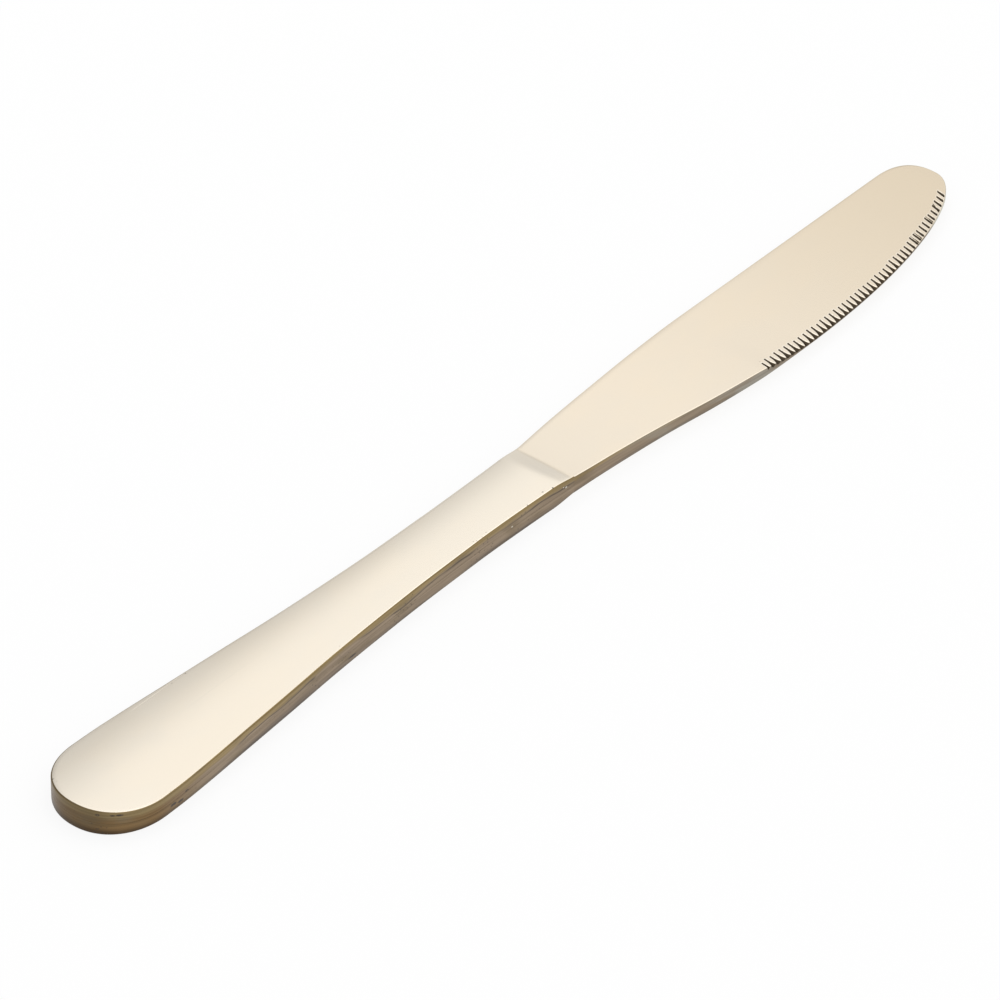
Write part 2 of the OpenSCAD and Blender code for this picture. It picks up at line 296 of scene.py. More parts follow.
def make_piece(name, points, quads, material, marks):
    """Puts points (in millimetres) and quads into one closed mesh. Points at one place become one
    vertex, a quad with a side of no length becomes a triangle, and faces are turned outwards. marks
    holds each point's values for the finishes."""
    keys = np.round(points / WELD).astype(np.int64)
    _, first, index = np.unique(keys, axis=0, return_index=True, return_inverse=True)
    corners = index.reshape(-1)[quads]
    folded = (corners[:, 0] == corners[:, 2]) | (corners[:, 1] == corners[:, 3])
    same = corners == np.roll(corners, -1, axis=1)
    sides = 4 - same.sum(axis=1)
    whole = corners[(sides == 4) & ~folded]
    short = (sides == 3) & ~folded
    thirds = corners[short][~same[short]].reshape(-1, 3)
    place = (points[first] + [BUTT_AT, 0, HANDLE_T / 2]) * MM
    mesh = bpy.data.meshes.new(name)
    mesh.from_pydata(place.tolist(), [], whole.tolist() + thirds.tolist())
    outward = bmesh.new()
    outward.from_mesh(mesh)
    bmesh.ops.recalc_face_normals(outward, faces=outward.faces)
    outward.to_mesh(mesh)
    outward.free()
    mesh.polygons.foreach_set("use_smooth", np.ones(len(mesh.polygons), bool))
    for label, values in marks.items():
        layer = mesh.attributes.new(label, "FLOAT", "POINT")
        layer.data.foreach_set("value", values[first].astype(np.float32))
    mesh.update()
    mesh.validate()
    mesh.set_sharp_from_angle(angle=CREASE)
    piece = bpy.data.objects.new(name, mesh)
    bpy.context.scene.collection.objects.link(piece)
    piece.data.materials.append(material)
    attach(piece, "root")
    return piece


# Handle shells

LIP_STEPS = 34
BODY_STEPS = 150
BUTT_STEPS = 120
FACE_STEPS = 16
ROUND_STEPS = 9
SIDE_STEPS = 4
RIM_ZONE = 3.0


def handle_outline():
    """Points, inward normals and centre points round the handle, from the mouth on the spine side,
    round the butt as a superellipse, back to the mouth on the edge side."""
    lip = HANDLE_L - RAMP_L * np.linspace(0, 1, LIP_STEPS, endpoint=False)
    body = np.linspace(HANDLE_L - RAMP_L, BUTT_L, BODY_STEPS, endpoint=False)
    x_side = np.concatenate([lip, body])
    half = handle_half(x_side)
    turn = np.radians(np.linspace(90, -90, BUTT_STEPS + 1))
    bulge = 2 / BUTT_POWER
    butt_x = BUTT_L - BUTT_L * np.cos(turn).clip(0) ** bulge
    butt_y = BUTT_W / 2 * np.sign(np.sin(turn)) * np.abs(np.sin(turn)) ** bulge
    slope_x = ((BUTT_L - butt_x) / BUTT_L) ** (BUTT_POWER - 1) / BUTT_L
    slope_y = -np.sign(butt_y) * np.abs(2 * butt_y / BUTT_W) ** (BUTT_POWER - 1) * 2 / BUTT_W
    length = np.hypot(slope_x, slope_y)
    x = np.concatenate([x_side, butt_x, x_side[::-1]])
    y = np.concatenate([half, butt_y, -half[::-1]])
    nx = np.concatenate([0 * half, slope_x / length, 0 * half])
    ny = np.concatenate([0 * half - 1, slope_y / length, 0 * half + 1])
    return x, y, nx, ny, np.maximum(x, BUTT_L)


def skin(inset, r, dressed):
    """One skin of a shell, from the centre line out over the face, round the rim and down to the
    seam: a crown that falls as the square of the share of the half width, a quarter circle of
    radius r at the rim, then a straight side. A dressed skin thins to LIP_T at the mouth."""
    x, y, nx, ny, centre_x = handle_outline()
    reach = np.concatenate([
        np.linspace(1, 0, FACE_STEPS, endpoint=False),
        np.zeros(ROUND_STEPS + SIDE_STEPS),
    ])
    turn = np.radians(np.linspace(0, 90, ROUND_STEPS))
    inward = inset + np.concatenate([
        np.full(FACE_STEPS, r),
        r * (1 - np.sin(turn)),
        np.zeros(SIDE_STEPS),
    ])
    drop = np.concatenate([
        np.zeros(FACE_STEPS),
        r * (1 - np.cos(turn)),
        np.full(SIDE_STEPS, r),
    ])
    down = np.concatenate([
        np.zeros(FACE_STEPS + ROUND_STEPS),
        np.linspace(0, 1, SIDE_STEPS + 1)[1:],
    ])
    px = x[:, None] + nx[:, None] * inward
    py = y[:, None] + ny[:, None] * inward
    px = px + (centre_x[:, None] - px) * reach
    py = py * (1 - reach)
    level = math.tan(CROWN_SLOPE) * py ** 2 / (2 * handle_half(np.maximum(px, BUTT_L)))
    if dressed:
        level = level * (1 - dressing(px)) + (WALL_T - LIP_T) * dressing(px)
    pz = HANDLE_T / 2 - inset - level - drop
    pz = pz + (BRAZE_T / 2 - pz) * down
    return np.stack([px, py, pz], axis=-1)


def handle_half_shell(name, material, side):
    """A stamped half shell: its outer skin, its inner skin, the seam between them and the lip at the
    mouth. side is 1 for the upper shell and -1 for the lower one, which is the mirror image."""
    outer = skin(0, EDGE_R, True)
    inner = skin(WALL_T, INNER_R, False)
    wall = np.concatenate([outer, inner[:, ::-1]], axis=1)
    around, across = wall.shape[:2]
    quads = [grid_faces(around, across)]
    for end in (0, around - 1):
        row = end * across + np.arange(across)
        half = across // 2
        cap = strip_faces(row[:half], row[half:][::-1])
        quads.append(cap if end == 0 else cap[:, ::-1])
    points = swayed(wall.reshape(-1, 3)) * [1, 1, side]
    x, y, _, _, _ = handle_outline()
    off_rim = np.hypot(wall[:, :, 0] - x[:, None], wall[:, :, 1] - y[:, None])
    marks = {
        "side": np.clip(1 - off_rim / EDGE_R, 0, 1).reshape(-1),
        "rim": np.clip(1 - off_rim / RIM_ZONE, 0, 1).reshape(-1),
    }
    return make_piece(name, points, np.concatenate(quads), material, marks)


def braze_line(name, material):
    """The ribbon of braze between the shells: a rectangle carried round the handle's outline."""
    x, y, nx, ny, _ = handle_outline()
    low, high = -BRAZE_T / 2, BRAZE_T / 2
    inward = np.array([BRAZE_INSET, BRAZE_INSET, WALL_T, WALL_T, BRAZE_INSET])
    level = np.array([low, high, high, low, low])
    points = np.stack([
        x[:, None] + nx[:, None] * inward,
        y[:, None] + ny[:, None] * inward,
        np.broadcast_to(level, (len(x), len(level))),
    ], axis=-1)
    around, across = points.shape[:2]
    ends = np.array([[0, 1, 2, 3], [3, 2, 1, 0]]) + np.array([[0], [(around - 1) * across]])
    quads = np.concatenate([grid_faces(around, across), ends])
    return make_piece(name, swayed(points.reshape(-1, 3)), quads, material, {})


# Blade

PLAIN_STEPS = 110
TOOTH_COLUMNS = 18
TIP_STEPS = 44
TANG_STEPS = 12
RIM_STEPS = 5
CUT_STEPS = 27
CUT_BAND = 1.35
CHORD_BANDS = 3
FAR_STEPS = 14
LOW_STEP = 6

# Rows of the walls, down the spine's and up the edge's, and the painted shade of the cuts carried
# down the edge's wall there
SPINE_ROWS = np.array([0.05, 0.5, 0.95])
EDGE_ROWS = np.array([0.25, 0.5, 0.75])
EDGE_DARK = 0.22
EDGE_DARK_REACH = 1.2
EDGE_FADE_L = 4 * NOSE_L


def blade_columns():
    """Where each column of the blade's grid starts on the edge: even steps up to the teeth, even
    parts of a pitch along them, and steps that close up at the tip as those of a sine do."""
    cuts = LAST_CUT + 1
    last = FIRST_TOOTH_X + cuts * TOOTH_PITCH
    plain = np.linspace(HANDLE_L, FIRST_TOOTH_X, PLAIN_STEPS, endpoint=False)
    toothed = np.linspace(FIRST_TOOTH_X, last, cuts * TOOTH_COLUMNS, endpoint=False)
    turn = np.linspace(0, math.pi / 2, TIP_STEPS + 1)
    return np.concatenate([plain, toothed, last + (OVERALL_L - last) * np.sin(turn)])


def groove_wander(number):
    """A small change from cut to cut, from -1 to 1: twice the fraction of a high sine, less 1."""
    return 2 * np.mod(np.sin(number * SINE_STEP) * SINE_HEIGHT, 1) - 1


def slant_at(start):
    """Slant of the cuts: none at the mouth and the tip, slight at the first teeth, then even."""
    risen = ease((start - HANDLE_L) / (TOOTH_START_X / 2))
    turned = risen * ease((OVERALL_L - start) / TOOTH_END_L)
    settled = ease((start - HANDLE_L - TOOTH_START_X) / FIRST_TEETH_L)
    return turned * (GROOVE_SLANT + (FIRST_SLANT - GROOVE_SLANT) * (1 - settled))


def tooth_cuts(start, up):
    """The cuts between the teeth: their depth below the face, how far inside a cut a place is (0 at
    its border, 1 at its middle), and how close outside the border it is (1 at it, 0 a rim's width
    off), which marks the painted highlight along the border. A cut is GROOVE_W wide at the edge and
    narrows, as a power of the share of its length that is left, to a thin stroke with a blunt end.
    Near the tip it turns to a stroke almost at once, and a few strokes there have a twin beside them
    or a leaning one across them. start is the column's place on the edge, and up the distance up
    the cut from the edge."""
    number = np.round((start - HANDLE_L - TOOTH_START_X) / TOOTH_PITCH)
    there = (number >= 0) & (number <= LAST_CUT)
    to_tip = ease((number / LAST_CUT - STROKES_FROM) / STROKES_OVER)

    shortening = TIP_SHORTENING * number / LAST_CUT
    length = GROOVE_L * (ROOT_LENGTH_SHARE - shortening + LENGTH_WANDER * groove_wander(number))
    grown = ease((number - SHORT_CUTS_FROM) / SHORT_CUTS)
    length = length * (SHORT_SHARE + SHORT_GROWTH * grown)
    left = np.clip(1 - up / length, 0, 1)

    wedge = left ** WEDGE_POWER * (1 - to_tip) + TIP_WEDGE_SHARE * left * to_tip
    wedge = wedge * ease((number - THIN_CUTS_FROM) / THIN_CUTS)
    stroke = STROKE_W + (TIP_STROKE_W - STROKE_W) * to_tip
    half = (stroke + (GROOVE_W - stroke) * wedge) / 2

    slope = (edge_line(start + SLOPE_STEP / 2) - edge_line(start - SLOPE_STEP / 2)) / SLOPE_STEP
    foreshortening = np.cos(slant_at(start)) - slope * np.sin(slant_at(start))
    middle = HANDLE_L + TOOTH_START_X + number * TOOTH_PITCH
    middle = middle + PLACE_WANDER * groove_wander(number + PLACE_DRAW)
    off = np.abs(start - middle) * foreshortening
    twin = np.abs(start - middle - TWIN_OFF) * foreshortening + TWIN_THINNER
    fork = np.abs(start - middle - FORK_LEAN * (up - FORK_AT)) * foreshortening + FORK_THINNER
    twinned = (to_tip > TWINS_FROM) & (groove_wander(number + TWIN_DRAW) > TWIN_ODDS)
    forked = (to_tip > FORKS_FROM) & (groove_wander(number + FORK_DRAW) > FORK_ODDS) & ~twinned
    off = np.where(twinned, np.minimum(off, twin), off)
    off = np.where(forked, np.minimum(off, fork), off)

    inside = np.where(there & (left > 0), np.clip(1 - off / half, 0, 1), 0)
    inside = inside * (1 - to_tip * (1 - ease((up - TIP_BAND_AT) / TIP_BAND)))
    depth = GROOVE_D * left ** DEPTH_POWER * inside
    # Just outside the border: the rim of painted highlight
    beyond = np.maximum(off - half, 0) + np.maximum(up - length, 0)
    painted_glint = np.where(there & (inside <= 0), np.clip(1 - beyond / PAINTED_GLINT_W, 0, 1), 0)
    return depth, inside, painted_glint


def blade_top():
    """The blade's upper face as a grid. A column leaves the edge along the slant of the cuts and
    then eases back to stand straight at the spine. The face is ruled from edge to spine, rounded at
    the rim by a quarter circle, and the V-shaped cuts go through it."""
    start = blade_columns()
    edge_y, spine_y = edge_line(start), spine_line(start)
    rim = BLADE_R * (1 - np.cos(np.radians(np.linspace(0, 90, RIM_STEPS + 1))))
    in_cuts = np.linspace(BLADE_R, CUT_BAND * GROOVE_L, CUT_STEPS + 1)[1:]
    near = np.concatenate([rim, in_cuts])
    scale = np.minimum(1, (spine_y - edge_y) / (CHORD_BANDS * near[-1]))
    slant = slant_at(start)[:, None]
    up = near[None, :] * scale[:, None]
    near_x = start[:, None] + up * np.sin(slant)
    near_y = edge_y[:, None] + up * np.cos(slant)
    far = np.linspace(0, 1, FAR_STEPS + 1)[1:]
    from_x, from_y = near_x[:, -1:], near_y[:, -1:]
    to_y = (spine_y - BLADE_R * scale)[:, None]
    far_x = from_x + (start[:, None] - from_x) * ease(far)
    far_y = from_y + (to_y - from_y) * far
    rim_x = np.repeat(start[:, None], RIM_STEPS, axis=1)
    rim_y = spine_y[:, None] - rim[None, ::-1][:, 1:] * scale[:, None]
    x = np.minimum(np.concatenate([near_x, far_x, rim_x], axis=1), OVERALL_L)
    y = np.concatenate([near_y, far_y, rim_y], axis=1)
    y = np.clip(y, edge_line(x), spine_line(x))
    face = blade_half(x, y)
    z = face - rounding(rim_distance(x, y), BLADE_R)
    in_band = np.zeros((3, *x.shape))
    in_band[:, :, :len(near)] = tooth_cuts(start[:, None], up)
    depth, inside, painted_glint = in_band
    z = np.where(inside > 0, np.minimum(z, face - depth), z)
    return x, y, z, face, inside, painted_glint


def blade_forging(name, material):
    """Blade and tang in one closed surface: the upper face with its teeth, the spine's and the edge's
    side walls, the lower face as the mirror image without teeth, the shoulder and the tang."""
    x, y, z, face, inside, painted_glint = blade_top()
    bottom = -(face - rounding(rim_distance(x, y), BLADE_R))
    last = x.shape[1] - 1
    keep = [[0, 2, RIM_STEPS], np.arange(RIM_STEPS + 3, last - RIM_STEPS, LOW_STEP),
            [last - RIM_STEPS, last - RIM_STEPS + 2, last]]
    keep = np.unique(np.concatenate(keep))[::-1]

    def ring(top, spine_wall, low, edge_wall):
        """Each column closed to a ring: over the top, down the spine's wall, back along the bottom
        on fewer points, and up the edge's wall."""
        return np.concatenate([top, spine_wall, low[:, keep], edge_wall, top[:, :1]], axis=1)

    bare = np.zeros((len(x), len(EDGE_ROWS)))
    spine_z = z[:, -1:] + (bottom[:, -1:] - z[:, -1:]) * SPINE_ROWS
    edge_z = bottom[:, :1] + (z[:, :1] - bottom[:, :1]) * EDGE_ROWS
    rx = ring(x, x[:, -1:] + bare, x, x[:, :1] + bare)
    ry = ring(y, y[:, -1:] + bare, y, y[:, :1] + bare)
    rz = ring(z, spine_z, bottom, edge_z)

    # Marks for the finish: the cuts, the painted shade they carry over the edge, the painted
    # highlight rims beside them, and the sides
    begun = ease((x[:, :1] - FIRST_TOOTH_X) / TOOTH_PITCH)
    toothed = begun * ease((OVERALL_L - TOOTH_END_L - x[:, :1]) / EDGE_FADE_L)
    shade = np.clip(EDGE_DARK_REACH - (face[:, :1] - edge_z) / EDGE_T, 0, 1)
    cut = ring(inside, bare, 0 * x, EDGE_DARK * toothed * shade)
    painted_glint = ring(painted_glint, bare, 0 * x, bare)
    on_spine_side = y > (edge_line(x) + spine_line(x)) / 2
    off_rim = np.where(on_spine_side, BLADE_R, rim_distance(x, y))
    side = np.clip(1 - ring(off_rim, bare, off_rim, bare) / BLADE_R, 0, 1)

    # The tang repeats the ring of the mouth, squared up and drawn back
    share_y = ry[0] / (MOUTH_W / 2)
    share_z = np.clip(rz[0] / (ROOT_T / 2 - BLADE_R), -1, 1)
    back = np.linspace(1, 0, TANG_STEPS + 1)[:, None]
    none = np.zeros((len(back), len(share_y)))
    width = TANG_END_W / 2 + (TANG_ROOT_W - TANG_END_W) / 2 * back[::-1]
    px = np.concatenate([HANDLE_L - TANG_L * back + none, rx])
    py = np.concatenate([width * share_y, ry])
    pz = np.concatenate([TANG_T / 2 * share_z + none, rz])
    py = np.maximum(py, blade_low.y / MM + MOUTH_DROP)
    points = np.stack([px, py, pz], axis=-1).reshape(-1, 3)
    end = np.full(px.shape[1] - 1, len(points))
    points = np.concatenate([points, [[HANDLE_L - TANG_L, 0, 0]]])
    row = np.arange(px.shape[1])
    fan = np.stack([row[:-1], row[1:], end, end], axis=-1)
    quads = np.concatenate([grid_faces(*px.shape), fan])
    marks = {
        "cut": np.append(np.concatenate([none, cut]), 0),
        "painted_glint": np.append(np.concatenate([none, painted_glint]), 0),
        "side": np.append(np.concatenate([none + 1, side]), 1),
    }
    return make_piece(name, points - [0, MOUTH_DROP, 0], quads, material, marks)


# Finishes: helpers for nodes

NUMBER = "NodeSocketFloat"
COLOUR = "NodeSocketColor"
VECTOR = "NodeSocketVector"
WHITE = (1, 1, 1, 1)

# Sockets of a Mix node: its share and its two colours, and the mixed colour
MIX_SLOTS = (0, 6, 7)
MIXED = 2


def node(tree, kind, **settings):
    """A node of that kind, with its properties set by name."""
    made = tree.nodes.new(kind)
    for key, value in settings.items():
        setattr(made, key, value)
    return made


def wire(tree, source, target):
    """A link from an output to an input."""
    tree.links.new(source, target)


def group(name, inputs, outputs):
    """An empty effect with named inputs, each with a starting value, and named outputs."""
    tree = bpy.data.node_groups.new(name, "ShaderNodeTree")
    for label, kind, value in inputs:
        socket = tree.interface.new_socket(name=label, in_out="INPUT", socket_type=kind)
        socket.default_value = value
    for label, kind in outputs:
        tree.interface.new_socket(name=label, in_out="OUTPUT", socket_type=kind)
    return tree, node(tree, "NodeGroupInput").outputs, node(tree, "NodeGroupOutput").inputs


def fill(tree, slot, value):
    """Sets an input to a number or a colour, or wires it to an output."""
    if isinstance(value, tuple):
        slot.default_value = (*value, 1)
    elif isinstance(value, (int, float)):
        slot.default_value = value
    else:
        wire(tree, value, slot)


def own_place(tree):
    """A place in the knife's frame."""
    return node(tree, "ShaderNodeTexCoord").outputs["Object"]


def place_on(tree, axis):
    """The x, y or z of a place in the knife's frame."""
    parts = node(tree, "ShaderNodeSeparateXYZ")
    wire(tree, own_place(tree), parts.inputs["Vector"])
    return parts.outputs[axis]


def mark(tree, name):
    """A mark kept on the piece's own points, such as how far a place is round to the side."""
    return node(tree, "ShaderNodeAttribute", attribute_name=name).outputs["Fac"]


def noise(tree, stretch, detail, scale=1, turn=0.0, shift=0.0):
    """Noise on the piece's own coordinates: its waves a metre along x, y and z, how many finer
    layers it has, and its turn about z."""
    mapping = node(tree, "ShaderNodeMapping")
    mapping.inputs["Scale"].default_value = stretch
    mapping.inputs["Rotation"].default_value = (0, 0, turn)
    mapping.inputs["Location"].default_value = (shift, shift, shift)
    pattern = node(tree, "ShaderNodeTexNoise")
    pattern.inputs["Detail"].default_value = detail
    wire(tree, own_place(tree), mapping.inputs["Vector"])
    wire(tree, mapping.outputs["Vector"], pattern.inputs["Vector"])
    fill(tree, pattern.inputs["Scale"], scale)
    return pattern.outputs["Fac"]


def spread(tree, value, low, high, to_low=0.0, to_high=1.0):
    """Eases a value between two levels and holds it outside them."""
    ramp = node(tree, "ShaderNodeMapRange", interpolation_type="SMOOTHSTEP")
    levels = {"From Min": low, "From Max": high, "To Min": to_low, "To Max": to_high}
    for label, level in levels.items():
        fill(tree, ramp.inputs[label], level)
    wire(tree, value, ramp.inputs["Value"])
    return ramp.outputs["Result"]


def sum_of(tree, kind, a, b):
    """Two values put together by kind, such as DIVIDE."""
    made = node(tree, "ShaderNodeMath", operation=kind)
    for slot, value in zip(made.inputs, (a, b)):
        fill(tree, slot, value)
    return made.outputs["Value"]


def times(tree, a, b):
    """The product of two values."""
    return sum_of(tree, "MULTIPLY", a, b)


def plus(tree, a, b):
    """The sum of two values."""
    return sum_of(tree, "ADD", a, b)


def minus(tree, a, b):
    """The difference of two values."""
    return sum_of(tree, "SUBTRACT", a, b)


def larger(tree, a, b):
    """The larger of two values."""
    return sum_of(tree, "MAXIMUM", a, b)


def blend(tree, share, a, b, kind="MIX"):
    """Colour a where share is 0, and b, or a and b mixed in that kind, where it is 1."""
    made = node(tree, "ShaderNodeMix", data_type="RGBA", blend_type=kind)
    for slot, value in zip(MIX_SLOTS, (share, a, b)):
        fill(tree, made.inputs[slot], value)
    return made.outputs[MIXED]


# Finishes: effects that more than one finish uses

BROAD_SHARE = 0.7
FINE_SHARE = 0.3
PATCH_LEVELS = (0.38, 0.62)

# Bands of the sides' painted reflection of the shadowed floor, by height above the seam as a share
# of half the thickness; the lowest is darkest, as painted shade by the floor
HALF_HEIGHT = 0.0024
TO_MIDDLE = (-0.95, -0.2)
TO_UPPER = (0.28, 0.62)
BAND_WANDER = 1.05
LINE_LEVEL = 0.36
LINE_HALF_W = (0.02, 0.085)
LINE_BREAKS = (0.42, 0.56)
LINE_TONE = (0.075, 0.058, 0.042)
STREAK_LEVELS = (0.35, 0.65)
STREAK_TONE = (0.62, 0.6, 0.58)
STREAK_SHARE = 0.5
MOTTLE_LEVELS = (0.5, 0.72)

# Scratches: their turn from the knife's length, and the levels of noise that make them
FIRST_TURN = 0.36
FIRST_LEVELS = (0.735, 0.78)
SECOND_TURN = -0.52
SECOND_LEVELS = (0.745, 0.79)

# Flecks: ragged border, solid part and hollow middle, in half sizes
RAGGED = 0.9
FLECK_BORDER = (1.0, 1.5)
HOLLOW_BORDER = (0.6, 1.0)


def haze_effect():
    """Cloudy colour of a hand-polished face: broad soft patches and finer ones inside them."""
    tree, given, result = group(
        "polish_haze",
        [("Tone", COLOUR, WHITE), ("Haze", COLOUR, WHITE), ("Amount", NUMBER, 0.5),
         ("Size", NUMBER, 1.0)],
        [("Color", COLOUR), ("Patches", NUMBER)],
    )
    broad = times(tree, noise(tree, (34, 60, 60), 2, given["Size"]), BROAD_SHARE)
    fine = times(tree, noise(tree, (150, 260, 260), 3, given["Size"], shift=4.1), FINE_SHARE)
    patches = spread(tree, plus(tree, broad, fine), *PATCH_LEVELS)
    share = times(tree, patches, given["Amount"])
    wire(tree, blend(tree, share, given["Tone"], given["Haze"]), result["Color"])
    wire(tree, patches, result["Patches"])
    return tree


def side_effect():
    """Layered tones of the sides, whose dark colour is painted reflection of the shadowed floor in
    front of them: three bands by height, the lowest darkest as painted shade, broken by level
    streaks, with a thin dark line in places along the upper one."""
    tree, given, result = group(
        "side_streaks",
        [("Upper", COLOUR, WHITE), ("Middle", COLOUR, WHITE), ("Lower", COLOUR, WHITE),
         ("Mottle", COLOUR, WHITE), ("Half height", NUMBER, HALF_HEIGHT),
         ("Patches", NUMBER, 0.5), ("Line", NUMBER, 0.0)],
        [("Color", COLOUR), ("Streaks", NUMBER)],
    )
    level = minus(tree, place_on(tree, "Z"), MIDDLE_HEIGHT)
    level = sum_of(tree, "DIVIDE", level, given["Half height"])
    wander = minus(tree, noise(tree, (52, 52, 300), 3), 0.5)
    level = plus(tree, level, times(tree, wander, BAND_WANDER))
    middling = spread(tree, level, *TO_MIDDLE)
    tones = blend(tree, middling, given["Lower"], given["Middle"])
    tones = blend(tree, spread(tree, level, *TO_UPPER), tones, given["Upper"])
    patches = spread(tree, noise(tree, (110, 110, 420), 3, shift=7.7), *MOTTLE_LEVELS)
    tones = blend(tree, times(tree, patches, given["Patches"]), tones, given["Mottle"])
    off_line = sum_of(tree, "ABSOLUTE", minus(tree, level, LINE_LEVEL), 0.0)
    line = spread(tree, off_line, *LINE_HALF_W, 1.0, 0.0)
    broken = spread(tree, noise(tree, (75, 75, 75), 2, shift=9.4), *LINE_BREAKS)
    line = times(tree, line, times(tree, broken, given["Line"]))
    tones = blend(tree, line, tones, LINE_TONE)
    streaks = spread(tree, noise(tree, (70, 70, 2600), 4, shift=2.3), *STREAK_LEVELS)
    share = spread(tree, streaks, 0.0, 1.0, 0.0, STREAK_SHARE)
    wire(tree, blend(tree, share, tones, STREAK_TONE, "MULTIPLY"), result["Color"])
    wire(tree, streaks, result["Streaks"])
    return tree


def hairline_effect():
    """Fine polishing lines along the piece, and a few longer scratches across it."""
    tree, given, result = group(
        "hairlines",
        [("Amount", NUMBER, 0.5)],
        [("Height", NUMBER), ("Scratches", NUMBER)],
    )
    lines = noise(tree, (45, 3600, 3600), 3)
    first = noise(tree, (16, 1500, 60), 1, turn=FIRST_TURN, shift=1.7)
    second = noise(tree, (22, 1900, 60), 1, turn=SECOND_TURN, shift=5.2)
    scratches = larger(tree, spread(tree, first, *FIRST_LEVELS), spread(tree, second, *SECOND_LEVELS))
    scratches = times(tree, scratches, given["Amount"])
    wire(tree, minus(tree, times(tree, lines, given["Amount"]), scratches), result["Height"])
    wire(tree, scratches, result["Scratches"])
    return tree


def pit_effect():
    """Small dark pits: the middles of scattered cells, only where a broad noise lets them be."""
    tree, given, result = group(
        "pits",
        [("Cells", NUMBER, 900.0), ("Radius", NUMBER, 0.18), ("Cover", NUMBER, 0.6)],
        [("Pits", NUMBER)],
    )
    cells = node(tree, "ShaderNodeTexVoronoi")
    wire(tree, own_place(tree), cells.inputs["Vector"])
    wire(tree, given["Cells"], cells.inputs["Scale"])
    spot = sum_of(tree, "LESS_THAN", cells.outputs["Distance"], given["Radius"])
    where = noise(tree, (140, 140, 140), 1, shift=3.3)
    where = sum_of(tree, "GREATER_THAN", where, given["Cover"])
    wire(tree, times(tree, spot, where), result["Pits"])
    return tree


def fleck_effect():
    """One ragged fleck: distance from the centre in half sizes, which is 1 on an ellipsoid, with
    noise added to break up its border."""
    tree, given, result = group(
        "fleck",
        [("Centre", VECTOR, (0, 0, 0)), ("Size", VECTOR, (0.001, 0.001, 0.001)),
         ("Hollow", NUMBER, 0.0)],
        [("Fleck", NUMBER)],
    )
    off = node(tree, "ShaderNodeVectorMath", operation="SUBTRACT")
    shares = node(tree, "ShaderNodeVectorMath", operation="DIVIDE")
    length = node(tree, "ShaderNodeVectorMath", operation="LENGTH")
    wire(tree, own_place(tree), off.inputs[0])
    wire(tree, given["Centre"], off.inputs[1])
    wire(tree, off.outputs["Vector"], shares.inputs[0])
    wire(tree, given["Size"], shares.inputs[1])
    wire(tree, shares.outputs["Vector"], length.inputs[0])
    ragged = times(tree, noise(tree, (2600, 2600, 2600), 2, shift=6.1), RAGGED)
    reach = plus(tree, length.outputs["Value"], ragged)
    filled = spread(tree, reach, *FLECK_BORDER, 1.0, 0.0)
    hole = times(tree, spread(tree, reach, *HOLLOW_BORDER, 1.0, 0.0), given["Hollow"])
    wire(tree, minus(tree, filled, hole), result["Fleck"])
    return tree


HAZE = haze_effect()
STREAKS = side_effect()
HAIRLINES = hairline_effect()
PITS = pit_effect()
FLECK = fleck_effect()


def effect(tree, made, **settings):
    """An effect placed in a finish, with its own values."""
    placed = node(tree, "ShaderNodeGroup", node_tree=made)
    for label, value in settings.items():
        slot = placed.inputs[label.replace("_", " ")]
        slot.default_value = (*value, 1) if slot.type == "RGBA" else value
    return placed.outputs


def flecks(tree, spots):
    """The greatest of several flecks. Each has its place from the butt, the middle line and the
    rest face, its half sizes, all in millimetres, and its share of hollow middle."""
    share = 0.0
    for x, y, z, half_x, half_y, half_z, hollow in spots:
        centre = ((x + BUTT_AT) * MM, y * MM, z * MM)
        size = (half_x * MM, half_y * MM, half_z * MM)
        one = effect(tree, FLECK, Centre=centre, Size=size, Hollow=hollow)["Fleck"]
        share = larger(tree, share, one)
    return share


def finish(name, metallic):
    """A new finish with its tree and its shader, the metallic share set on the shader itself."""
    material = bpy.data.materials.new(name)
    material.use_nodes = True
    tree = material.node_tree
    shader = tree.nodes["Principled BSDF"].inputs
    shader["Metallic"].default_value = metallic
    return material, tree, shader


def relief(tree, shader, height, depth):
    """Bump from a height, as deep as depth in metres."""
    bump = node(tree, "ShaderNodeBump")
    bump.inputs["Distance"].default_value = depth
    wire(tree, height, bump.inputs["Height"])
    wire(tree, bump.outputs["Normal"], shader["Normal"])


# Tones

SHELL_TONE = (0.93, 0.842, 0.708)
SHELL_HAZE = (0.905, 0.832, 0.715)
LIP_TONE = (0.87, 0.775, 0.635)
BLADE_TONE = (0.897, 0.79, 0.638)
BLADE_HAZE = (0.887, 0.795, 0.662)
TIP_TONE = (0.734, 0.626, 0.474)
# Painted shade on the sides and the braze round the butt
BUTT_PAINTED_SHADE = (0.07, 0.05, 0.028)
BUTT_BRAZE = (0.14, 0.09, 0.042)
BRAZE_TONE = (0.29, 0.22, 0.145)
BRAZE_HAZE = (0.22, 0.17, 0.11)
TIP_SIDE = (0.60, 0.58, 0.48)
# Painted shade in the cuts, over their unpolished grind, and painted highlight along their borders
GROOVE_TONE = (0.075, 0.057, 0.037)
PAINTED_GLINT_TONE = (1.0, 0.97, 0.90)
PIT_TONE = (0.12, 0.09, 0.06)
FLECK_TONE = (0.06, 0.05, 0.045)
PALE_FLECK_TONE = (0.78, 0.72, 0.62)
CEMENT_TONE = (0.42, 0.40, 0.36)
CEMENT_HAZE = (0.55, 0.53, 0.49)
CEMENT_PIT = (0.28, 0.26, 0.23)

